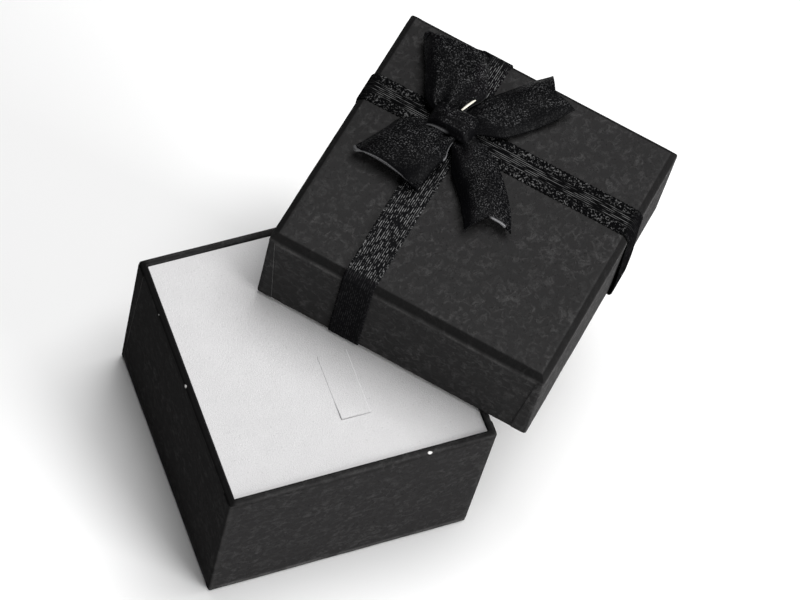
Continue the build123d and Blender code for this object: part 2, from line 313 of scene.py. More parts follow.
def mix_colors(tree, share, a, b):
    """Colour a where share is 0 and b where it is 1; each is a tuple or a socket."""
    made = tree.nodes.new("ShaderNodeMix")
    made.data_type = "RGBA"
    tree.links.new(share, made.inputs[0])
    for socket, value in ((made.inputs[6], a), (made.inputs[7], b)):
        if isinstance(value, tuple):
            socket.default_value = (*value, 1)
        else:
            tree.links.new(value, socket)
    return made.outputs[2]


def paint(tree, shader, color):
    tree.links.new(color, shader.inputs["Base Color"])


def bump(tree, shader, height, distance):
    made = node(tree, "ShaderNodeBump", Strength=1.0, Distance=distance)
    tree.links.new(height, made.inputs["Height"])
    tree.links.new(made.outputs[0], shader.inputs["Normal"])


def attribute_value(tree, name):
    return node(tree, "ShaderNodeAttribute", attribute_name=name).outputs["Fac"]


# ---- materials ---------------------------------------------------------------
def black_paper(name, dark, light, crinkle, gloss):
    """Matte black paper: soft mottling and long fine creases whose pale marks are partly the paper's own tone
    and partly painted highlight, pits, and edges painted pale (wear and painted highlight) or dark (painted
    shade).
    """
    material, tree, shader = principled(name, dark, 0.70, Specular_IOR_Level=gloss)
    position = object_position(tree)
    mottle = noise_value(tree, position, 1.3 * MM, 4.0, 0.8)
    clump = noise_value(tree, position, 7.0 * MM, 2.0)
    fibre = noise_value(tree, position, 0.26 * MM, 3.0, 0.5)
    winding = noise_value(tree, position, 3.4 * MM, 3.0, 1.6)
    off_middle = math_node(tree, "ABSOLUTE", math_node(tree, "SUBTRACT", winding, 0.5))
    crease = ramp(tree, off_middle, 0.0, 0.016, 1.0, 0.0)
    crease = times(tree, crease, ramp(tree, mottle, 0.42, 0.60))
    spread = ramp(tree, clump, 0.36, 0.62, 0.45, 1.0)
    blotch = times(tree, ramp(tree, mottle, 0.42, 0.78), spread)
    marks = math_node(tree, "MAXIMUM", times(tree, crease, 0.55), blotch)
    speckle = times(tree, marks, ramp(tree, fibre, 0.34, 0.62, 0.35, 1.0))
    # The pale marks are partly the paper's own mottling and partly painted highlight standing in for its sheen
    color = mix_colors(tree, speckle, dark, light)
    pits = ramp(tree, noise_value(tree, position, 0.42 * MM, 1.0), 0.26, 0.36, 0.55, 0.0)
    color = mix_colors(tree, pits, color, tuple(0.45 * c for c in dark))
    # This pale colour is real wear at the corners and painted highlight on the folds and the rim
    pale_edge_fibre = ramp(tree, fibre, 0.30, 0.60, 0.4, 1.0)
    wear_and_highlight = times(tree, attribute_value(tree, "wear_and_highlight"), pale_edge_fibre)
    color = mix_colors(tree, math_node(tree, "MINIMUM", wear_and_highlight, 1.0), color, (0.10, 0.098, 0.097))
    # This darkening is painted shade: the lid's bevel band, the line under the tray's rim and the tray's left
    # rim
    color = mix_colors(tree, attribute_value(tree, "painted_shade"), color, tuple(0.30 * c for c in dark))
    chips = ramp(tree, attribute_value(tree, "chip"), 0.35, 0.6)
    color = mix_colors(tree, chips, color, (0.62, 0.61, 0.60))
    paint(tree, shader, color)
    tree.links.new(ramp(tree, mottle, 0.40, 0.70, 0.78, 0.55), shader.inputs["Roughness"])
    height = math_node(tree, "ADD", marks, times(tree, fibre, 0.35))
    bump(tree, shader, height, crinkle)
    return material


def paper_core():
    """The cut edge of the covering paper, dyed nearly through."""
    material, tree, shader = principled("paper_cut_edge", (0.05, 0.05, 0.05), 0.9)
    position = object_position(tree)
    color = mix_colors(tree, noise_value(tree, position, 0.5 * MM), (0.02, 0.02, 0.02), (0.09, 0.09, 0.088))
    paint(tree, shader, color)
    return material


def greyboard():
    material, tree, shader = principled("greyboard", (0.40, 0.37, 0.33), 0.9)
    position = object_position(tree)
    fibres = noise_value(tree, position, 0.7 * MM, 6.0, 1.5)
    color = mix_colors(tree, fibres, (0.27, 0.25, 0.22), (0.50, 0.47, 0.42))
    flecks = ramp(tree, noise_value(tree, position, 0.25 * MM, 1.0), 0.70, 0.78)
    color = mix_colors(tree, flecks, color, (0.10, 0.09, 0.09))
    paint(tree, shader, color)
    bump(tree, shader, fibres, 0.03 * MM)
    return material


def kraft_tape():
    material, tree, shader = principled("kraft_tape", (0.50, 0.36, 0.22), 0.7)
    fibres = noise_value(tree, object_position(tree), 0.5 * MM, 5.0, 1.0)
    color = mix_colors(tree, fibres, (0.38, 0.27, 0.16), (0.58, 0.44, 0.28))
    paint(tree, shader, color)
    bump(tree, shader, fibres, 0.02 * MM)
    return material


def flocked_card():
    """White card with a short velvety flock."""
    material, tree, shader = principled("flocked_card", (0.60, 0.60, 0.605), 0.95)
    shader.inputs["Sheen Weight"].default_value = 0.15
    shader.inputs["Specular IOR Level"].default_value = 0.15
    position = object_position(tree)
    grain = noise_value(tree, position, 0.22 * MM, 3.0)
    cloud = noise_value(tree, position, 4.0 * MM, 2.0)
    color = mix_colors(tree, cloud, (0.60, 0.595, 0.60), (0.65, 0.645, 0.65))
    flecks = ramp(tree, noise_value(tree, position, 0.55 * MM, 1.0), 0.68, 0.76, 0.0, 0.35)
    color = mix_colors(tree, flecks, color, (0.42, 0.42, 0.42))
    color = mix_colors(tree, ramp(tree, grain, 0.35, 0.65, 0.16, 0.0), color, (0.40, 0.395, 0.40))
    paint(tree, shader, color)
    bump(tree, shader, grain, 0.07 * MM)
    return material


def white_foam():
    material, tree, shader = principled("white_foam", (0.80, 0.80, 0.79), 0.85)
    shader.inputs["Subsurface Weight"].default_value = 0.1
    cells = tree.nodes.new("ShaderNodeTexVoronoi")
    cells.inputs["Scale"].default_value = 1 / (0.9 * MM)
    tree.links.new(object_position(tree), cells.inputs["Vector"])
    open_cell = ramp(tree, cells.outputs["Distance"], 0.0, 0.5)
    color = mix_colors(tree, open_cell, (0.62, 0.62, 0.61), (0.84, 0.84, 0.83))
    paint(tree, shader, color)
    bump(tree, shader, cells.outputs["Distance"], 0.25 * MM)
    return material


def thread_coordinates(tree, along_size, across_count):
    """Coordinates that run with a ribbon: one unit is a thread's length along it and its width across."""
    combined = tree.nodes.new("ShaderNodeCombineXYZ")
    along = math_node(tree, "DIVIDE", attribute_value(tree, "along"), along_size)
    across = times(tree, attribute_value(tree, "across"), across_count)
    for socket, value in zip(combined.inputs, (along, across, attribute_value(tree, "seed"))):
        tree.links.new(value, socket)
    return combined.outputs[0]


def ribbed_ribbon(name, rib_share, dash_length, ground, thread):
    """Black ribbed ribbon: dashed lines of thread over rib_share of its width and knobbly stitches beside
    them, their pale colour a painted highlight for their sheen, brightest where the band faces the
    painted-highlight direction; ground is how pale the cloth is and thread how pale its painted highlight is."""
    material, tree, shader = principled(name, (0.003, 0.003, 0.0035), 0.50, Specular_IOR_Level=0.0)
    across = math_node(tree, "ABSOLUTE", attribute_value(tree, "across"))
    line_angle = times(tree, across, math.tau * BAND_WIDTH / 2 / BAND_LINE_PITCH)
    lines = ramp(tree, math_node(tree, "COSINE", line_angle), 0.0, 0.95)
    dashes = noise_value(tree, thread_coordinates(tree, dash_length, 9.0), 1.0, 2.0)
    middle = times(tree, lines, ramp(tree, dashes, 0.44, 0.62))
    stitches = noise_value(tree, thread_coordinates(tree, 0.36 * MM, 9.0), 1.0, 2.0, 0.4)
    edge = ramp(tree, stitches, 0.53, 0.68)
    is_edge = ramp(tree, across, rib_share, rib_share + 0.08)
    middle = times(tree, middle, math_node(tree, "SUBTRACT", 1.0, is_edge))
    edge = times(tree, edge, times(tree, is_edge, 0.8))
    # level turns the painted highlight down where the band faces away from the painted-highlight direction
    level = ramp(tree, attribute_value(tree, "level"), 0.45, 0.87, 0.10, 1.0)
    bright = times(tree, math_node(tree, "ADD", middle, edge), level)
    color = mix_colors(tree, bright, (ground, ground, ground * 1.1), (thread, thread, thread))
    paint(tree, shader, color)
    tree.links.new(ramp(tree, bright, 0.0, 1.0, 0.62, 0.38), shader.inputs["Roughness"])
    bump(tree, shader, bright, 0.05 * MM)
    return material


def satin_ribbon():
    """Black satin with the fine glitter of its floating threads painted into its colour as painted highlight,
    brightest on its crowns where it faces the painted-highlight direction, and painted highlight lines on its
    hems.
    """
    material, tree, shader = principled("satin_ribbon", (0.002, 0.002, 0.0024), 0.50, Specular_IOR_Level=0.03)
    glint = noise_value(tree, thread_coordinates(tree, 0.26 * MM, 21.0), 1.0, 2.0, 0.5)
    patch = noise_value(tree, object_position(tree), 2.2 * MM, 2.0)
    patch = ramp(tree, patch, 0.34, 0.60, 0.35, 1.0)
    # The glitter is painted highlight: pale colour in the thread pattern, scaled by level, how squarely the
    # ribbon faces the painted-highlight direction
    sparkle = times(tree, ramp(tree, glint, 0.52, 0.70), patch)
    level = ramp(tree, attribute_value(tree, "level"), 0.50, 0.95, 0.06, 1.0)
    sparkle = times(tree, sparkle, level)
    color = mix_colors(tree, sparkle, (0.0020, 0.0020, 0.0024), (0.088, 0.088, 0.090))
    # These lines are painted highlights on hems, folds and cut edges, in a near-white colour
    painted_highlight = math_node(tree, "MINIMUM", attribute_value(tree, "painted_highlight"), 1.0)
    color = mix_colors(tree, painted_highlight, color, (0.30, 0.30, 0.31))
    paint(tree, shader, color)
    tree.links.new(ramp(tree, glint, 0.35, 0.70, 0.58, 0.36), shader.inputs["Roughness"])
    bump(tree, shader, glint, 0.08 * MM)
    return material


def hot_glue():
    material, tree, shader = principled("hot_glue", (0.75, 0.72, 0.62), 0.35)
    lumps = noise_value(tree, object_position(tree), 1.2 * MM, 2.0)
    bump(tree, shader, lumps, 0.1 * MM)
    return material


def studio_floor():
    material, tree, shader = principled("studio_floor", (0.95, 0.95, 0.95), 0.9)
    shade = noise_value(tree, object_position(tree), 0.05, 2.0)
    color = mix_colors(tree, shade, (0.945, 0.945, 0.945), (0.955, 0.955, 0.955))
    paint(tree, shader, color)
    return material


# Each paper's light colour is partly its mottled tone and partly painted highlight
LID_PAPER = black_paper("black_paper_lid", dark=(0.0245, 0.0240, 0.0242), light=(0.058, 0.057, 0.057),
                        crinkle=0.09 * MM, gloss=0.01)
# The tray's paper is set darker than the lid's, as painted shade for the tray's walls
TRAY_PAPER = black_paper("black_paper_tray", dark=(0.0185, 0.0181, 0.0183), light=(0.040, 0.0395, 0.0395),
                         crinkle=0.08 * MM, gloss=0.0)
PAPER_CUT = paper_core()
CARD = flocked_card()
FOAM = white_foam()
GLUE = hot_glue()
# Each band's thread paleness is painted highlight for its sheen
BAND_LINED = ribbed_ribbon("ribbed_ribbon_lined", rib_share=0.36, dash_length=2.4 * MM, ground=0.003,
                           thread=0.130)
BAND_DASHED = ribbed_ribbon("ribbed_ribbon_dashed", rib_share=0.80, dash_length=0.7 * MM, ground=0.006,
                            thread=0.195)
SATIN = satin_ribbon()


# ---- papered shells ----------------------------------------------------------
def shell_profile(height, bevel, wall, turn_in):
    """(inset, z) down a papered shell, from its closed face's edge to the end of the turned-in paper."""
    soft = RIM_ROUND
    points = []
    for share in np.linspace(0, 1, 7):
        a = share * math.pi / 2
        chamfered = np.array([(1 - share) * bevel, share * bevel])
        arc = np.array([(1 - math.sin(a)) * bevel, (1 - math.cos(a)) * bevel])
        points.append(0.65 * chamfered + 0.35 * arc)
    lower = points[-1][1]
    wall_steps = int((height - soft - lower) / (0.7 * MM))
    for k in range(1, wall_steps + 1):
        points.append(np.array([0, lower + (height - soft - lower) * k / wall_steps]))
    for a in np.linspace(0, math.pi / 2, 5)[1:]:
        points.append(np.array([soft * (1 - math.cos(a)), height - soft * (1 - math.sin(a))]))
    points.append(np.array([wall * 0.42, height - 0.03 * MM]))
    points.append(np.array([wall * 0.55, height - 0.06 * MM]))
    for a in np.linspace(math.pi / 2, 0, 5):
        points.append(np.array([wall - soft * (1 - math.cos(a)), height - soft * (1 - math.sin(a))]))
    for k in range(1, 9):
        points.append(np.array([wall, height - soft - (turn_in - soft) * k / 8]))
    return points


def shell_faces(rows, columns):
    """Faces of a closed skin between two grids of points, the outer grid first."""
    count = rows * columns
    faces = [f[::-1] for f in quad_strip_faces(rows, columns, True)]
    faces += [tuple(count + k for k in f[::-1]) for f in faces]
    last = (rows - 1) * columns
    for j in range(columns):
        k = (j + 1) % columns
        faces.append((last + j, last + k, count + last + k, count + last + j))
    faces.append(tuple(range(columns)))
    faces.append(tuple(count + k for k in range(columns))[::-1])
    return faces


def papered_shell(name, half_x, half_y, height, bevel, turn_in, matrix, material, body, seed, chips=()):
    """One sheet of paper wrapped over a board shell that is open at +Z, as a closed skin."""
    side_steps, corner_steps = 60, 6
    profile = shell_profile(height, bevel, WALL, turn_in)
    edge = ring_points(half_x - profile[0][0], half_y - profile[0][0], PAPER_CORNER, side_steps, corner_steps)
    face_shares = np.linspace(0.02, 0.985, 26)
    rings = [np.column_stack([edge * share, np.zeros(len(edge))]) for share in face_shares]
    for inset, z in profile:
        radius = max(PAPER_CORNER - inset * 0.5, 0.12 * MM)
        outline = ring_points(half_x - inset, half_y - inset, radius, side_steps, corner_steps)
        rings.append(np.column_stack([outline, np.full(len(outline), z)]))
    grid = np.array(rings)
    rows, columns = grid.shape[:2]
    normal = -surface_normals(grid, closed_rows=True)
    insets = np.concatenate([np.full(len(face_shares), -1.0), [p[0] for p in profile]])[:, None]
    depths = np.concatenate([np.zeros(len(face_shares)), [p[1] for p in profile]])[:, None]
    outside = insets < WALL * 0.6
    swell = 0.035 * MM * wobble(grid, 7 * MM, seed) + 0.012 * MM * wobble(grid, 1.6 * MM, seed + 1)
    # The fold beside the closed face's edge stands up a little, unevenly, and is painted pale, partly as
    # scuffing and partly as a painted highlight along its crest.
    from_fold = (depths - bevel - FOLD_DEPTH) / FOLD_WIDTH
    fold_line = np.exp(-from_fold ** 2) * (insets < 0.2 * MM) * (depths > bevel * 0.9)
    uneven = 0.5 + 0.5 * wobble(grid, 3.2 * MM, seed + 2)
    fold = fold_line * np.clip(uneven * 1.5 - 0.25, 0, 1)
    # Each corner of the closed face has the bunched paper of its folded dart.
    corner = np.linalg.norm(np.abs(grid[..., :2]) - np.array([half_x, half_y]), axis=-1)
    bunch = np.exp(-(np.hypot(corner, depths - bevel * 0.6) / BUNCH_SIZE) ** 2)
    crumple = BUNCH_HEIGHT * bunch * wobble(grid, 0.9 * MM, seed + 3)
    lift = swell * outside + FOLD_HEIGHT * fold + crumple
    grid = grid + normal * lift[..., None]
    inner = grid - normal * PAPER_SKIN
    points = place(np.concatenate([grid.reshape(-1, 3), inner.reshape(-1, 3)]), matrix)
    piece = new_piece(name, points, shell_faces(rows, columns), material, body)
    rim = np.exp(-((depths - height) / (0.30 * MM)) ** 2) * (np.abs(insets - 0.2 * MM) < 0.35 * MM)
    upright = np.exp(-(corner / (0.55 * MM)) ** 2) * (depths > bevel) * (insets < 0.3 * MM)
    # The fold is painted pale partly as scuffing and partly as painted highlight, the rim in patches as
    # painted highlight, and the upright and bunched corners as wear
    rim_highlight_patches = np.clip(uneven * 1.4 - 0.3, 0, 1)
    fold_scuff_and_highlight, rim_highlight, upright_wear, bunch_wear = 1.15, 0.30, 0.28, 0.70
    wear_and_highlight = fold_scuff_and_highlight * fold + rim_highlight * rim * rim_highlight_patches + (upright_wear * upright + bunch_wear * bunch) * uneven
    chip = np.zeros((rows, columns))
    for x, y, size in chips:
        away = np.linalg.norm(grid[..., :2] - np.array([x, y]), axis=-1)
        chip += np.exp(-(np.hypot(away, (depths - height) * 0.8) / size) ** 2) * (insets >= 0)
    on_outside = (insets < 0.9 * bevel + 0.01 * MM) & (depths > 0)
    if bevel > RIM_ROUND:
        # A wide bevel is painted dark all round, as painted shade.
        band = smoothstep(-0.2 * MM, 0.1 * MM, depths) * (1 - smoothstep(bevel * 0.75, bevel * 1.15, depths))
        painted_shade = np.broadcast_to(0.85 * band * on_outside, (rows, columns))
    else:
        # A plain shell has a painted shade line under its rim, and its left rim is painted darker than the
        # others as painted shade.
        under_rim = np.exp(-((depths - height + RIM_LINE_DEPTH) / RIM_LINE_WIDTH) ** 2)
        on_rim = (np.abs(depths - height) < 0.35 * MM) & (insets >= 0)
        left = smoothstep(0.93, 0.97, -grid[..., 0] / half_x)
        painted_shade = np.maximum(0.75 * under_rim * on_outside, 0.95 * on_rim * left)
    add_attribute(piece, "painted_shade", np.tile(painted_shade.ravel(), 2))
    add_attribute(piece, "wear_and_highlight", np.tile(wear_and_highlight.ravel(), 2))
    add_attribute(piece, "chip", np.tile(chip.ravel(), 2))
    return piece


def corner_laps(name, half_side, half_end, height, bevel, matrix, material, body):
    """The slanted paper flaps glued over the side walls at the four corners, at x = +-half_side."""
    points, faces, edge_faces = [], [], []
    rows, columns = 24, 5
    low, high = bevel + 0.3 * MM, height - 0.35 * MM
    for side in (-1, 1):
        for end in (-1, 1):
            start = len(points)
            for i in range(rows):
                z = low + (high - low) * i / (rows - 1)
                reach = LAP_BOTTOM + (LAP_TOP - LAP_BOTTOM) * i / (rows - 1)
                ragged = 0.10 * MM * noise.noise(Vector((side * 3, end * 5, i * 0.9)))
                for layer in (1, 0):
                    for j in range(columns):
                        from_edge = (reach + ragged - LAP_EDGE) * j / (columns - 1)
                        y = end * (half_end - LAP_EDGE - from_edge)
                        proud = LAP_PROUD * layer * (1.0 if j else 0.3)
                        points.append((side * (half_side + proud + LAP_FILM), y, z))
            ring = 2 * columns
            for i in range(rows - 1):
                a, b = start + i * ring, start + (i + 1) * ring
                for j in range(columns - 1):
                    quad = (a + j, a + j + 1, b + j + 1, b + j)
                    faces.append(quad if side * end < 0 else quad[::-1])
                tip = (a + columns - 1, a + ring - 1, b + ring - 1, b + columns - 1)
                edge_faces.append(len(faces))
                faces.append(tip if side * end < 0 else tip[::-1])
    piece = new_piece(name, place(np.array(points), matrix), faces, material, body, smooth=False)
    piece.data.materials.append(PAPER_CUT)
    for index in edge_faces:
        piece.data.polygons[index].material_index = 1
    for attribute in ("wear_and_highlight", "chip", "painted_shade"):
        add_attribute(piece, attribute, np.zeros(len(points)))
    return piece


def build_tray():
    """The tray's paper and laps; chips lists the place (x, y) and size of each pale chip in its rim."""
    chips = [
        (-TRAY_HALF_X, -0.6 * MM, 0.42 * MM),
        (-TRAY_HALF_X, 14.0 * MM, 0.22 * MM),
        (12.4 * MM, -TRAY_HALF_Y, 0.5 * MM),
        (-11.0 * MM, -TRAY_HALF_Y, 0.25 * MM),
    ]
    paper = papered_shell("tray_paper", TRAY_HALF_X, TRAY_HALF_Y, RIM_Z, RIM_ROUND, TRAY_TURN_IN,
                          Matrix.Identity(4), TRAY_PAPER, "tray", 11, chips)
    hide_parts("tray_wrap")
    laps = corner_laps("tray_paper_laps", TRAY_HALF_X, TRAY_HALF_Y, RIM_Z, RIM_ROUND, Matrix.Identity(4),
                       TRAY_PAPER, "tray")


def build_lid():
    upside_down = Matrix.Translation((0, 0, LID_HEIGHT)) @ Matrix.Rotation(math.pi, 4, "X")
    quarter = Matrix.Rotation(math.pi / 2, 4, "Z")
    paper = papered_shell("lid_paper", LID_HALF, LID_HALF, LID_HEIGHT, LID_BEVEL, LID_TURN_IN,
                          LID_PLACE @ upside_down, LID_PAPER, "lid", 23)
    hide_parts("lid_wrap")
    laps = corner_laps("lid_paper_laps", LID_HALF, LID_HALF, LID_HEIGHT, LID_BEVEL,
                       LID_PLACE @ upside_down @ quarter, LID_PAPER, "lid")


# ---- insert ------------------------------------------------------------------
def rounded_slab(name, outline, low, high, edge, material, body, hole=None):
    """A flat slab over a closed outline, with softened edges and, if asked, a hole."""
    curve = bpy.data.curves.new(name, "CURVE")
    curve.dimensions = "2D"
    curve.fill_mode = "BOTH"
    curve.extrude = (high - low) / 2 - edge
    curve.bevel_depth = edge
    curve.bevel_resolution = 2
    for loop, grow in ((outline, -edge), (hole, edge)):
        if loop is None:
            continue
        centre = np.mean(loop, axis=0)
        spline = curve.splines.new("POLY")
        spline.points.add(len(loop) - 1)
        for point, xy in zip(spline.points, loop):
            moved = xy + np.sign(xy - centre) * grow
            point.co = (moved[0], moved[1], 0, 1)
        spline.use_cyclic_u = True
    solid = add_object(name + "_curve", curve)
    solid.location.z = (low + high) / 2
    bpy.context.view_layer.update()
    mesh = bpy.data.meshes.new_from_object(solid.evaluated_get(bpy.context.evaluated_depsgraph_get()))
    mesh.transform(solid.matrix_world)
    bpy.data.objects.remove(solid)
    mesh.name = name
    piece = add_object(name, mesh)
    mesh.materials.clear()
    mesh.materials.append(material)
    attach(piece, body)
    return piece


def rectangle(low_x, low_y, high_x, high_y):
    return np.array([(low_x, low_y), (high_x, low_y), (high_x, high_y), (low_x, high_y)])


def build_insert():
    radius = (tongue_high.z - tongue_low.z) / 2
    window = rectangle(tongue_low.x - CARD_KERF, tongue_low.y - CARD_KERF, tongue_high.x + CARD_KERF,
                       tongue_high.y - radius)
    outline = rectangle(card_low.x, card_low.y, card_high.x, card_high.y)
    card = rounded_slab("insert_top_card", outline, card_low.z, card_high.z, CARD_EDGE, CARD, "insert",
                        hole=window)
    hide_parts("insert_card")
    build_foam()
    build_tongue(radius)


def build_foam():
    """The block of foam: sides pulled in a little between its corners, cells torn open on the cut faces."""
    half_x = (foam_high.x - foam_low.x) / 2
    half_y = (foam_high.y - foam_low.y) / 2
    height = foam_high.z - foam_low.z
    side_steps, corner_steps, height_steps = 40, 4, 24
    ease = 0.3 * FOAM_EDGE
    profile = [(FOAM_EDGE, 0.0), (ease, ease), (0.0, FOAM_EDGE)]
    for k in range(1, height_steps + 1):
        profile.append((0.0, FOAM_EDGE + (height - 2 * FOAM_EDGE) * k / height_steps))
    profile += [(ease, height - ease), (FOAM_EDGE, height)]
    rings = []
    for inset, z in profile:
        hollow = 0.35 * MM * math.sin(math.pi * z / height)
        outline = ring_points(half_x - inset, half_y - inset, FOAM_CORNER, side_steps, corner_steps)
        pull = hollow * (1 - (np.abs(outline) / np.array([half_x, half_y])).prod(axis=1))
        outline = outline * (1 - pull / half_x)[:, None]
        rings.append(np.column_stack([outline, np.full(len(outline), foam_low.z + z)]))
    grid = np.array(rings)
    rough = -0.10 * MM * np.abs(wobble(grid, 1.1 * MM, 5))
    grid = grid - surface_normals(grid, closed_rows=True) * rough[..., None]
    rows, columns = grid.shape[:2]
    faces = quad_strip_faces(rows, columns, True)
    faces.append(tuple(range(columns))[::-1])
    faces.append(tuple(range((rows - 1) * columns, rows * columns)))
    foam = new_piece("insert_foam_block", grid.reshape(-1, 3), faces, FOAM, "insert")
    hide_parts("insert_foam")


def build_tongue(radius):
    """The ring tongue: a strip of the card, rounded at its score line, its free left corner sprung up."""
    middle_z = (tongue_low.z + tongue_high.z) / 2
    hinge_y = tongue_high.y - radius
    rounded = hinge_y + radius * np.cos(np.linspace(0.15, math.pi / 2, 8))
    length = hinge_y - tongue_low.y
    flat = hinge_y - length * np.linspace(0, 1, 60)[1:]
    y = np.concatenate([rounded, flat])[:, None]
    share = np.clip((hinge_y - y) / length, 0, 1)
    v = np.linspace(-1, 1, 41)[None, :]
    left = smoothstep(0.1, 1.0, -v)
    sprung = smoothstep(0.62, 1.0, share)
    middle_x, half_width = (tongue_low.x + tongue_high.x) / 2, (tongue_high.x - tongue_low.x) / 2
    x = middle_x + v * half_width + 0.10 * MM * left * sprung
    front = 0.09 * MM * (0.5 - 0.5 * v) * smoothstep(0.97, 1.0, share)
    lift = 0.16 * MM * sprung * (0.5 - 0.5 * v) ** 1.4
    grid = point_grid(x, y + front, middle_z + lift)
    past_hinge = np.maximum(y - hinge_y, 0) / radius
    half = radius * np.sqrt(np.clip(1 - past_hinge ** 2, 0.02, 1)) * np.ones_like(v)
    tongue = ribbon_solid("ring_tongue_card", grid[:, ::-1], half, CARD, "tongue")
    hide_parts("ring_tongue")


# ---- ribbon bands ------------------------------------------------------------
def rounded_route(corners, radii, step):
    """Evenly spaced points along straight runs joined by arcs, in a plane."""
    points = [np.array(corners[0], float)]
    for before, corner, after, radius in zip(corners, corners[1:], corners[2:], radii):
        a = np.array(before, float) - corner
        b = np.array(after, float) - corner
        a, b = a / np.linalg.norm(a), b / np.linalg.norm(b)
        half_angle = math.acos(np.clip(a @ b, -1, 1)) / 2
        reach = radius / math.tan(half_angle)
        start, end = corner + a * reach, corner + b * reach
        for t in np.linspace(0, 1, 9):
            points.append((1 - t) ** 2 * start + 2 * t * (1 - t) * np.array(corner) + t * t * end)
    points.append(np.array(corners[-1], float))
    points = np.array(points)
    lengths = np.concatenate([[0], np.cumsum(np.linalg.norm(np.diff(points, axis=0), axis=1))])
    wanted = np.linspace(0, lengths[-1], int(lengths[-1] / step) + 1)
    return np.column_stack([np.interp(wanted, lengths, points[:, k]) for k in range(2)])


def band_route():
    """(along, height) of a band's middle: up inside one wall, round its rim, over the top and back down."""
    gap = BAND_HALF_THICKNESS + BAND_CLEARANCE
    out = LID_HALF + gap
    top = LID_HEIGHT + gap
    inside = LID_HALF - WALL - gap
    cut = LID_BEVEL * 0.80
    left = [(-inside, BAND_TUCK), (-inside, -gap), (-out, -gap), (-out, LID_HEIGHT - cut), (cut - out, top)]
    corners = left + [(-a, z) for a, z in reversed(left)]
    rim_turn, top_turn = 0.5 * MM, 0.9 * MM
    radii = [rim_turn, rim_turn, top_turn, top_turn] * 2
    return rounded_route(corners, radii, BAND_STEP)


def band_relief(along, v):
    """Height of the band's ribs and knobbly selvedges above its flat."""
    ribs = 0.055 * MM * np.cos(v / BAND_RIB_SHARE * math.pi * BAND_RIBS) * (np.abs(v) < BAND_RIB_SHARE)
    edge = smoothstep(BAND_RIB_SHARE, BAND_RIB_SHARE + 0.08, np.abs(v))
    phase = along / BAND_STITCH * math.tau + np.sign(v) * 1.1 + (np.abs(v) > 0.80) * math.pi
    selvedge = (np.abs(v) - BAND_RIB_SHARE) / (1 - BAND_RIB_SHARE)
    two_rows = np.cos(phase) * np.sin(selvedge * math.tau) ** 2
    return ribs + edge * (0.05 * MM + 0.10 * MM * np.clip(two_rows, -0.3, 1))


def build_band(name, cad_node, turn, offset, material, climb_at=None, slack=0.0):
    """One band round the lid; climb_at is where it climbs over the other, slack how far its right end stands
    off the wall."""
    route = band_route()
    on_right_wall = smoothstep(LID_HALF - WALL, LID_HALF, route[:, 0])
    hanging = smoothstep(0.05, 0.75, 1 - route[:, 1] / LID_HEIGHT) * on_right_wall
    route = route + np.column_stack([slack * hanging, np.zeros(len(route))])
    v = np.linspace(-1, 1, 57)
    count = len(route)
    along = np.linspace(0, BAND_STEP * count, count)[:, None]
    seed = 3 if climb_at is None else 8
    edge_wave = 0.07 * MM * np.cos(along / BAND_STITCH * math.tau) * np.abs(v[None, :]) ** 8 * np.sign(v)
    drift = 0.18 * MM * np.array([noise.noise(Vector((a * 60, seed, 0))) for a in along[:, 0]])[:, None]
    across = v[None, :] * BAND_WIDTH / 2 + edge_wave + drift
    height = route[:, 1][:, None]
    if climb_at is not None:
        away = np.abs(route[:, 0] - climb_at)[:, None]
        on_top = route[:, 1][:, None] > LID_HEIGHT * 0.9
        climb = 1 - smoothstep(BAND_WIDTH / 2, BAND_WIDTH / 2 + 2.0 * MM, away)
        height = height + 2.2 * BAND_HALF_THICKNESS * climb * on_top
    grid = point_grid(route[:, 0][:, None], across, height)
    edge_ease = np.clip((1 - np.abs(v)) / 0.05, 0.25, 1)
    relief = band_relief(along, v[None, :]) * edge_ease
    local = Matrix.Rotation(turn, 4, "Z")
    shift = Matrix.Translation((0, offset, 0) if turn == 0 else (offset, 0, 0))
    grid = place(grid[:, ::-1], LID_PLACE @ shift @ local)
    from_middle = np.abs(route[:, :1])
    # Where the band bends over the bevel its painted highlight is turned down, as painted shade on its sides
    bevel_highlight_dimming = 0.42 * smoothstep(LID_HALF - 1.5 * LID_BEVEL, LID_HALF - 0.9 * LID_BEVEL, from_middle)
    half_thickness = BAND_HALF_THICKNESS * edge_ease[None, :]
    band = ribbon_solid(name, grid, half_thickness, material, "lid", relief[:, ::-1], highlight_dimming=bevel_highlight_dimming)
    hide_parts(cad_node)


# ---- bow ---------------------------------------------------------------------
def bow_place(turn):
    centre = Matrix.Translation((KNOT_CENTRE.x, KNOT_CENTRE.y, BOW_Z))
    return LID_PLACE @ centre @ Matrix.Rotation(turn, 4, "Z")


def hem(v, rows):
    """Half thickness across a satin ribbon, with a rolled hem at each edge."""
    roll = np.exp(-((np.abs(v) - 0.965) / 0.035) ** 2)
    taper = np.clip((1 - np.abs(v)) / 0.02, 0.35, 1)
    return np.broadcast_to((RIBBON_HALF_THICKNESS * (1 + 0.9 * roll) * taper)[None, :], (rows, len(v)))


def satin_piece(name, cad_node, turn, grid, v, painted_highlight, thread_share=1.0):
    """A hemmed piece of the bow, set at the knot and turned; grid is its middle surface, v runs across it."""
    middle = place(grid[:, ::-1], bow_place(turn))
    piece = ribbon_solid(name, middle, hem(v[0], len(grid)), SATIN, "lid", painted_highlight=painted_highlight[:, ::-1],
                         thread_share=thread_share)
    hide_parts(cad_node)
    return piece


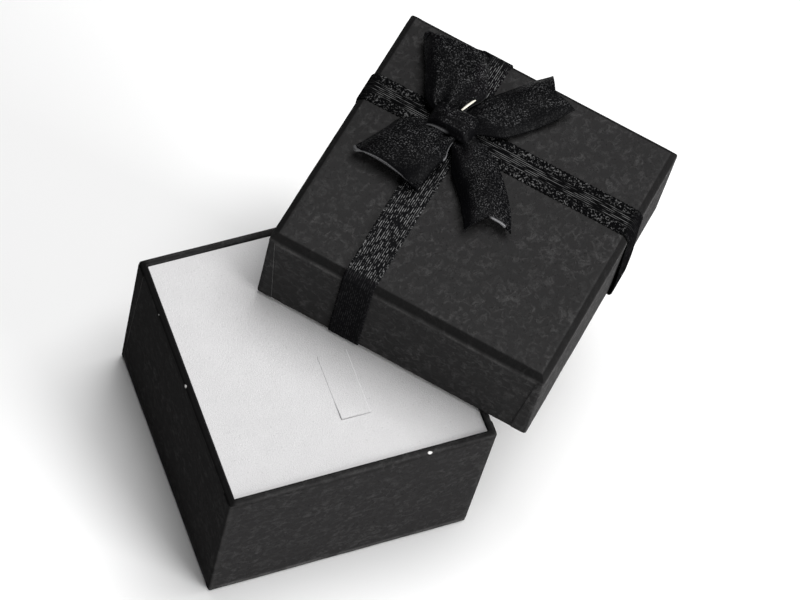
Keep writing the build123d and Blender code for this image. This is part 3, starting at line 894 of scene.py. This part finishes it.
def build_loop(name, cad_node, turn, reach, longer, lean, neck_lean, flare, fold_highlight, seed):
    """A flattened loop that fans out from the knot to `reach` millimetres. Its side towards `longer` (+1, -1)
    reaches further; it lies `lean` millimetres to one side, its neck neck_lean more, and it widens by `flare`
    towards its far fold, which gets a painted highlight as bright as fold_highlight says."""
    # Along the strip phi runs from the lower layer's neck over the far fold to the upper layer's neck; out is
    # 0 at the neck and 1 at the fold; top marks the upper layer; v runs across. s points outward, w sideways.
    rows, columns = 140, 71
    phi = np.linspace(0.0, math.pi, rows)[:, None]
    v = np.linspace(-1, 1, columns)[None, :]
    out = np.sin(phi) ** 0.62
    top = (phi > math.pi / 2) * 1.0
    upper = np.sign(-np.cos(phi)) * np.abs(np.cos(phi)) ** 0.75
    start, skew, neck_half, spread = 1.2 * MM, 1.7, 2.3, 3.3
    far = (reach + skew * longer * v + 0.6 * v ** 2 - 0.7 * smoothstep(0.84, 1.02, np.abs(v))) * MM
    s = start + (far - start) * out
    fan = neck_half + spread * smoothstep(0.0, 0.42, out) + flare * smoothstep(0.5, 1.0, out)
    sway = lean * smoothstep(0.0, 0.3, out) + neck_lean * np.exp(-((out - 0.17) / 0.13) ** 2)
    w = (v * fan + sway) * MM
    gap = (0.60 + 2.30 * smoothstep(0.0, 0.50, out) - 0.8 * smoothstep(0.70, 1.0, out)) * MM
    middle = (1.75 + 0.80 * smoothstep(0.05, 0.55, out) - 0.35 * smoothstep(0.6, 1.0, out)) * MM
    steep = 1.75 * np.abs(v) ** 5 + 0.55 * v ** 2 - 0.2
    crown = steep * MM * smoothstep(0.02, 0.45, out) * (0.15 + 0.85 * top)
    gathers = 0.40 * MM * np.cos(v * math.pi * 2.5 + 0.4) * (1 - smoothstep(0.0, 0.60, out))
    ripple = 0.25 * MM * np.sin(out * 6.0 + 2.4 * v + seed) * smoothstep(0.2, 0.6, out) * top
    z = middle + upper * gap / 2 - crown + gathers * (0.4 + 0.6 * top) + ripple
    grid = point_grid(s, w, z)
    grid[..., 2] += 0.16 * MM * wobble(grid, 2.6 * MM, seed)
    # fold and neck_edge mark painted highlight lines on the far fold and the neck's edge
    fold = np.exp(-((phi - math.pi / 2 - 0.04) / 0.055) ** 2) * smoothstep(-0.75, -0.45, v * longer)
    neck_edge = smoothstep(0.94, 0.99, -v * longer) * (out > 0.10) * (out < 0.42) * top
    painted_highlight = fold_highlight * np.clip(fold + neck_edge, 0, 1)
    return satin_piece(name, cad_node, turn, grid, v, painted_highlight)


def build_tail(name, cad_node, turn, reach, bend, early, highlight_side, seed):
    """A tail with a swallowtail end, swung sideways by bend (the larger early is, the nearer to the knot);
    the prong on highlight_side gets a painted highlight along its cut edge."""
    rows, columns = 110, 57
    t = np.linspace(0, 1, rows)[:, None]
    v = np.linspace(-1, 1, columns)[None, :]
    start, notch, neck_half, spread = 1.0 * MM, 2.1 * MM, 2.1, 2.2
    length = reach - notch * (1 - np.abs(v)) ** 0.9
    s = start + (length - start) * t
    run = s / reach
    half = (neck_half + spread * smoothstep(0.08, 0.42, run) - 0.4 * smoothstep(0.8, 1.0, run)) * MM
    swing = bend * (run ** 2 - early * run)
    slope = bend * (2 * run - early) / reach
    w = v * half
    x = s - w * slope
    y = swing + w
    arch_share = smoothstep(0.0, 0.3, run) * (1 - 0.40 * smoothstep(0.7, 1.0, run))
    arch = 2.2 * MM * (1 - np.abs(v) ** 3.6) * arch_share
    level = (0.9 - 0.75 * smoothstep(0.1, 0.5, run) + 0.85 * smoothstep(0.6, 1.0, run)) * MM
    flutter = 0.22 * MM * np.sin(run * 9 + v * 1.4 + seed) * smoothstep(0.3, 0.7, run)
    gathers = 0.28 * MM * np.cos(v * math.pi * 2) * (1 - smoothstep(0.1, 0.45, run))
    z = level + arch + flutter + gathers
    grid = point_grid(x, y, z)
    grid[..., 2] += 0.12 * MM * wobble(grid, 2.2 * MM, seed)
    # A painted highlight line along one prong's cut edge
    painted_highlight = 0.8 * smoothstep(0.975, 0.995, t) * smoothstep(0.05, 0.2, v * highlight_side) * (np.abs(v) < 0.75)
    satin_piece(name, cad_node, turn, grid, v, painted_highlight)


def build_knot():
    """The strip wrapped round the middle of the bow; the angle a runs over the top from left to right."""
    rows, columns = 100, 71
    a = np.linspace(-0.25, math.pi + 0.25, rows)[:, None]
    v = np.linspace(-1, 1, columns)[None, :]
    over = np.clip(np.sin(a), 0, 1)
    waist = 1 - 0.10 * over
    half_length, half_width, foot, height = 4.2 * MM, 3.0 * MM, 0.5 * MM, 4.0 * MM
    off_x, off_y = -0.4 * MM, 0.2 * MM
    x = off_x - half_length * np.sign(np.cos(a)) * np.abs(np.cos(a)) ** 0.80
    y = off_y + half_width * v * waist
    tuck = (1.5 * np.abs(v) ** 5 + 0.35 * v ** 2) * MM * over
    z = foot + height * np.sign(np.sin(a)) * np.abs(np.sin(a)) ** 0.62 - tuck
    folds = 0.09 * MM * np.cos(v * math.pi * 3.0 + 0.8 * np.sin(a * 1.3)) * over
    grid = point_grid(x, y, z + folds)
    grid = grid + 0.16 * MM * wobble(grid, 2.0 * MM, 31)[..., None] * np.array([0.3, 0.3, 1.0])
    left_half = smoothstep(0.25, 0.45, a) * (1 - smoothstep(1.45, 1.65, a))
    right_crown = smoothstep(1.55, 1.75, a) * (1 - smoothstep(2.15, 2.35, a))
    # front_edge and back_edge carry painted highlight lines along the knot's hems
    front_edge, back_edge = smoothstep(0.90, 0.96, -v), smoothstep(0.90, 0.96, v)
    painted_highlight = 0.45 * front_edge * left_half + 0.75 * back_edge * right_crown
    satin_piece("bow_knot_wrap", "bow_knot", 0.0, grid, v, painted_highlight, thread_share=0.5)


def build_glue_thread():
    """A pale thread of hot glue drawn out beside the knot when the bow was stuck on."""
    start, end = np.array([-9.79, 10.23, 3.9]) * MM, np.array([-8.2, 15.1, 3.5]) * MM
    thickest, arch = 0.21 * MM, np.array([0, 0, 0.25 * MM])
    rows, columns = 40, 12
    share = np.linspace(0, 1, rows)[:, None, None]
    middle = start + (end - start) * share + arch * np.sin(math.pi * share)
    turn = np.linspace(0, math.tau, columns, endpoint=False)[None, :, None]
    radius = thickest * np.sin(math.pi * np.clip(share, 0.015, 0.985)) ** 0.35
    side = np.cross(end - start, (0, 0, 1))
    side = side / np.linalg.norm(side)
    grid = middle + radius * (np.cos(turn) * side + np.sin(turn) * np.array([0, 0, 1]))
    faces = quad_strip_faces(rows, columns, True)
    faces += [tuple(range(columns))[::-1], tuple(range((rows - 1) * columns, rows * columns))]
    top = Matrix.Translation((0, 0, LID_HEIGHT))
    thread = new_piece("bow_glue_thread", place(grid, LID_PLACE @ top).reshape(-1, 3), faces, GLUE, "lid")


def build_bow():
    back = build_loop("bow_loop_back_satin", "bow_loop_back", turn=math.radians(115), reach=17.0,
                      longer=1, lean=-0.1, neck_lean=1.3, flare=0.5, fold_highlight=0.10, seed=1.0)
    front = build_loop("bow_loop_front_satin", "bow_loop_front", turn=math.radians(-110), reach=15.0,
                       longer=-1, lean=-1.5, neck_lean=0.0, flare=0.9, fold_highlight=0.80, seed=2.6)
    build_tail("bow_tail_back_satin", "bow_tail_back", turn=math.radians(50), reach=22.0 * MM, bend=1.5 * MM,
               early=0.55, highlight_side=0, seed=0.5)
    build_tail("bow_tail_front_satin", "bow_tail_front", turn=math.radians(-44), reach=21.2 * MM,
               bend=-6.5 * MM, early=0.88, highlight_side=1, seed=2.0)
    build_knot()
    build_glue_thread()


# ---- CAD pieces that stay ----------------------------------------------------
def dress_cad_pieces():
    board, tape = greyboard(), kraft_tape()
    kept = {"tray_board": board, "lid_board": board, "tray_corner_stays": tape, "lid_corner_stays": tape,
            "bow_glue_dot": GLUE}
    for name, material in kept.items():
        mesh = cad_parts[name].data
        mesh.materials.clear()
        mesh.materials.append(material)


# ---- stage, lights and camera ------------------------------------------------
def build_stage():
    half_size = 3.0
    grid = [(x * half_size, y * half_size, 0.0) for y in (-1, 1) for x in (-1, 1)]
    mesh = bpy.data.meshes.new("floor")
    mesh.from_pydata(grid, [], [(0, 1, 3, 2)])
    floor = add_object("floor", mesh)
    mesh.materials.append(studio_floor())
    floor.location.z = cad_bounds[0].z - 0.2 * MM


def soft_light(name, location, target, size, watts):
    light = bpy.data.lights.new(name, "AREA")
    light.shape = "RECTANGLE"
    light.size, light.size_y = size
    light.energy = watts
    lamp = add_object(name, light)
    lamp.location = location
    lamp.rotation_mode = "QUATERNION"
    lamp.rotation_quaternion = (Vector(target) - Vector(location)).to_track_quat("-Z", "Y")


def build_lights():
    world = bpy.data.worlds.new("studio")
    bpy.context.scene.world = world
    world.use_nodes = True
    background = world.node_tree.nodes["Background"]
    background.inputs["Color"].default_value = (1, 1, 1, 1)
    background.inputs["Strength"].default_value = 0.08
    centre = (cad_bounds[0] + cad_bounds[1]) / 2
    soft_light("overhead", (0.28, 0.12, 1.30), centre, (0.9, 0.9), 18.3)
    soft_light("front", (0.60, -1.00, 0.28), centre, (0.7, 0.5), 19.0)
    bpy.context.scene.view_settings.view_transform = "Standard"


def build_camera():
    camera = bpy.data.cameras.new("camera")
    camera.sensor_width = 36
    camera.lens = 182.7
    camera.shift_x = -0.0112
    camera.shift_y = -0.0377
    camera.clip_start = 0.05
    camera.clip_end = 20
    rig = add_object("camera", camera)
    rig.location = (-0.1868, -0.2837, 0.6675)
    rig.rotation_euler = Euler([math.radians(a) for a in (28.574, -8.435, -20.210)])
    bpy.context.scene.camera = rig


build_camera()
build_stage()
build_lights()
dress_cad_pieces()
build_tray()
build_lid()
build_insert()
build_band("ribbon_band_left_right", "ribbon_left_right", 0.0, BAND_X_AT_Y, BAND_LINED, slack=BAND_SLACK)
build_band("ribbon_band_front_back", "ribbon_front_back", math.pi / 2, BAND_Y_AT_X, BAND_DASHED,
           climb_at=BAND_X_AT_Y)
build_bow()
